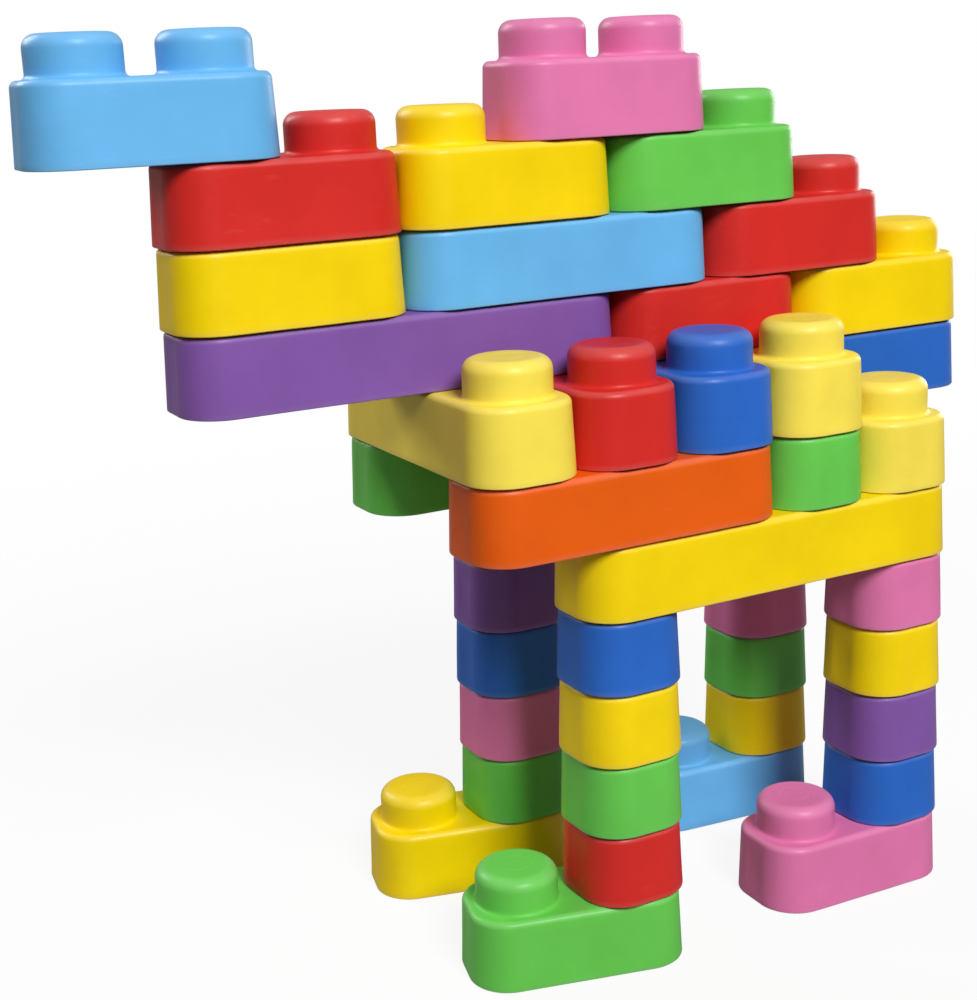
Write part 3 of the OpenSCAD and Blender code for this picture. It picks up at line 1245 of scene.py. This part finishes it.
@dataclass(frozen=True)
class SoftLamp:
    """A large soft lamp.

    Attributes:
        name: Its name.
        place: Where it hangs.
        size: Its side length.
        power: Its power in watts.
        target: What it points at, by default the middle of the camel.
    """

    name: str
    place: tuple
    size: float
    power: float
    target: tuple = (0.0, 0.0, 0.40)

    def make(self) -> None:
        """Hangs the lamp."""
        lamp = bpy.data.lights.new(self.name, "AREA")
        lamp.shape = "SQUARE"
        lamp.size = self.size
        lamp.energy = self.power
        made = placed(self.name, lamp)
        made.location = self.place
        made.rotation_euler = (Vector(self.target) - Vector(self.place)).to_track_quat("-Z", "Y").to_euler()


@dataclass(frozen=True)
class Studio:
    """Pale floor, white surroundings and soft lamps.

    Attributes:
        ambient: Brightness of the surroundings as a light.
        ambient_tint: Warm tint of that light.
        mirror_share: Share of the white that reflections on the plastic show.
        floor_r: Radius of the floor.
        floor_rings: Rings of points in it.
        floor_columns: Points in a ring.
        floor_drop: How far it lies below the soles.
        clear_r: Radius from which the floor fades into the white.
        rim_w: Width of the rim that is quite clear.
        floor_tone: Brightness of the floor's colour, as the camera sees it.
        floor_bounce: Brightness with which it lights the object.
        floor_glow: Share of plain white in the floor as the camera sees it; the rest keeps the shadow.
        lamps: The lamps.
    """

    ambient: float = 0.11
    ambient_tint: tuple = (1.0, 0.74, 0.66)
    mirror_share: float = 0.3
    floor_r: float = 2.4
    floor_rings: int = 24
    floor_columns: int = 96
    floor_drop: float = 0.0005
    clear_r: float = 0.9
    rim_w: float = 0.1
    floor_tone: float = 0.85
    floor_bounce: float = 0.36
    floor_glow: float = 0.89
    lamps: tuple = (
        SoftLamp("key_lamp", (-0.4, -4.87, 4.60), 2.2, 430.0),
        SoftLamp("back_lamp", (-2.5, 4.30, 3.30), 2.6, 155.0),
        SoftLamp("rear_lamp", (5.2, 2.30, 1.20), 2.2, 80.0),
    )

    def surround(self) -> None:
        """White for the camera, in part for reflections, and a soft even light for everything else."""
        world = bpy.data.worlds.new("studio_surround")
        world.use_nodes = True
        graph = ShaderGraph(world.node_tree)
        mirrored = graph.ray("Is Glossy Ray") * self.mirror_share
        pale = (graph.ray("Is Camera Ray") + mirrored + graph.ray("Is Transmission Ray")).clamped()
        light = graph.node("ShaderNodeBackground", {}, {"Color": (*self.ambient_tint, 1.0),
                                                        "Strength": self.ambient})
        white = graph.node("ShaderNodeBackground", {}, {"Color": WHITE, "Strength": 1.0})
        both = graph.node("ShaderNodeMixShader", {}, {0: pale, 1: light, 2: white})
        graph.node("ShaderNodeOutputWorld", {}, {"Surface": both})
        bpy.context.scene.world = world

    def floor_finish(self) -> bpy.types.Material:
        """Pale matt finish that glows white for the camera and fades out towards the floor's rim.

        Returns:
            The material.
        """
        made = bpy.data.materials.new("pale_floor")
        made.use_nodes = True
        graph = ShaderGraph(made.node_tree)
        away = graph.node("ShaderNodeVectorMath", {"operation": "LENGTH"}, {0: graph.object_coordinates()},
                          output="Value")
        fade = away.above(Threshold(self.clear_r, 1.0 / (self.floor_r - self.clear_r - self.rim_w)))
        seen = graph.ray("Is Camera Ray")
        tone = self.floor_bounce + seen * (self.floor_tone - self.floor_bounce)
        matt = graph.node("ShaderNodeBsdfDiffuse", {}, {"Color": tone})
        white = graph.node("ShaderNodeEmission", {}, {"Color": WHITE, "Strength": 1.0})
        clear = graph.node("ShaderNodeBsdfTransparent")
        lit = graph.node("ShaderNodeMixShader", {}, {0: seen * self.floor_glow, 1: matt, 2: white})
        both = graph.node("ShaderNodeMixShader", {}, {0: fade, 1: lit, 2: clear})
        graph.node("ShaderNodeOutputMaterial", {}, {"Surface": both})
        return made

    def floor(self) -> bpy.types.Object:
        """A round floor: rings of points by angle around a disc.

        Returns:
            The floor.
        """
        radius = np.linspace(0.0, self.floor_r, self.floor_rings + 1)[1:]
        circle = unit_circle(np.linspace(0.0, 2 * math.pi, self.floor_columns, endpoint=False))
        points = raised(radius[:, None, None] * circle, -self.floor_drop)
        rings = grid_quads(self.floor_rings, self.floor_columns).reshape(-1, 4)
        disc = list(range(self.floor_columns))
        mesh = bpy.data.meshes.new("studio_floor")
        mesh.from_pydata(points.tolist(), [], [*rings.tolist(), disc])
        mesh.materials.append(self.floor_finish())
        made = placed("studio_floor", mesh)
        return made

    def build(self) -> None:
        """Sets up the whole studio."""
        self.surround()
        self.floor()
        for lamp in self.lamps:
            lamp.make()
        bpy.context.scene.view_settings.view_transform = "Standard"


@dataclass(frozen=True)
class PhotoCamera:
    """Camera at the photograph's view.

    Attributes:
        eye: Where it stands, in metres.
        yaw: Turn from +Y towards +X, in radians.
        pitch: Tilt, upwards positive.
        roll: Turn about the line of sight.
        focal: Focal length in pixels of the photograph.
        sensor: Sensor width in millimetres.
        far: Distance up to which it sees, in metres.
    """

    eye: tuple = (-0.7353, -1.2833, 0.7906)
    yaw: float = 0.4827
    pitch: float = -0.2567
    roll: float = -0.0412
    focal: float = 1665.0
    sensor: float = 36.0
    far: float = 50.0

    def build(self) -> bpy.types.Object:
        """Places the camera; its frame is the photograph's, whose longer side spans the sensor.

        Returns:
            The camera.
        """
        sight = Vector((math.sin(self.yaw) * math.cos(self.pitch), math.cos(self.yaw) * math.cos(self.pitch),
                        math.sin(self.pitch)))
        level = Vector((math.cos(self.yaw), -math.sin(self.yaw), 0.0))
        upright = level.cross(sight)
        right = math.cos(self.roll) * level + math.sin(self.roll) * upright
        up = math.cos(self.roll) * upright - math.sin(self.roll) * level
        lens = bpy.data.cameras.new("photo_camera")
        lens.sensor_width = self.sensor
        lens.sensor_fit = "AUTO"
        lens.lens = self.focal / max(PHOTO_WIDTH, PHOTO_HEIGHT) * self.sensor
        lens.clip_end = self.far
        made = placed("photo_camera", lens)
        made.matrix_world = Matrix.Translation(self.eye) @ Matrix((right, up, -sight)).transposed().to_4x4()
        bpy.context.scene.camera = made
        return made


def main() -> None:
    """Builds the studio and every sub-assembly in order."""
    logging.basicConfig(level=logging.INFO, format="%(name)s: %(message)s")
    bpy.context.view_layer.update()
    PhotoCamera().build()
    Studio().build()
    sizes = BlockSizes.from_frame()
    finishes = {tone: MouldedPlastic(tone).material() for tone in Tone}
    assemblies = [
        Leg(sizes, finishes, Side.LEFT, End.FORE, Tone.GREEN,
            (Tone.RED, Tone.GREEN, Tone.YELLOW, Tone.BLUE)),
        Leg(sizes, finishes, Side.RIGHT, End.FORE, Tone.YELLOW,
            (Tone.GREEN, Tone.PINK, Tone.BLUE, Tone.PURPLE)),
        Leg(sizes, finishes, Side.LEFT, End.HIND, Tone.PINK,
            (Tone.BLUE, Tone.PURPLE, Tone.YELLOW, Tone.PINK)),
        Leg(sizes, finishes, Side.RIGHT, End.HIND, Tone.LIGHT_BLUE,
            (Tone.YELLOW, Tone.GREEN, Tone.PINK, Tone.BLUE)),
        Barrel(sizes, finishes),
        Back(sizes, finishes),
        Hump(sizes, finishes),
        Neck(sizes, finishes),
    ]
    pieces = [piece for assembly in assemblies for piece in assembly.build()]
    faces = sum(len(piece.data.polygons) for piece in pieces)
    log.info("%d pieces, %d faces", len(pieces), faces)


if __name__ == "__main__":
    main()
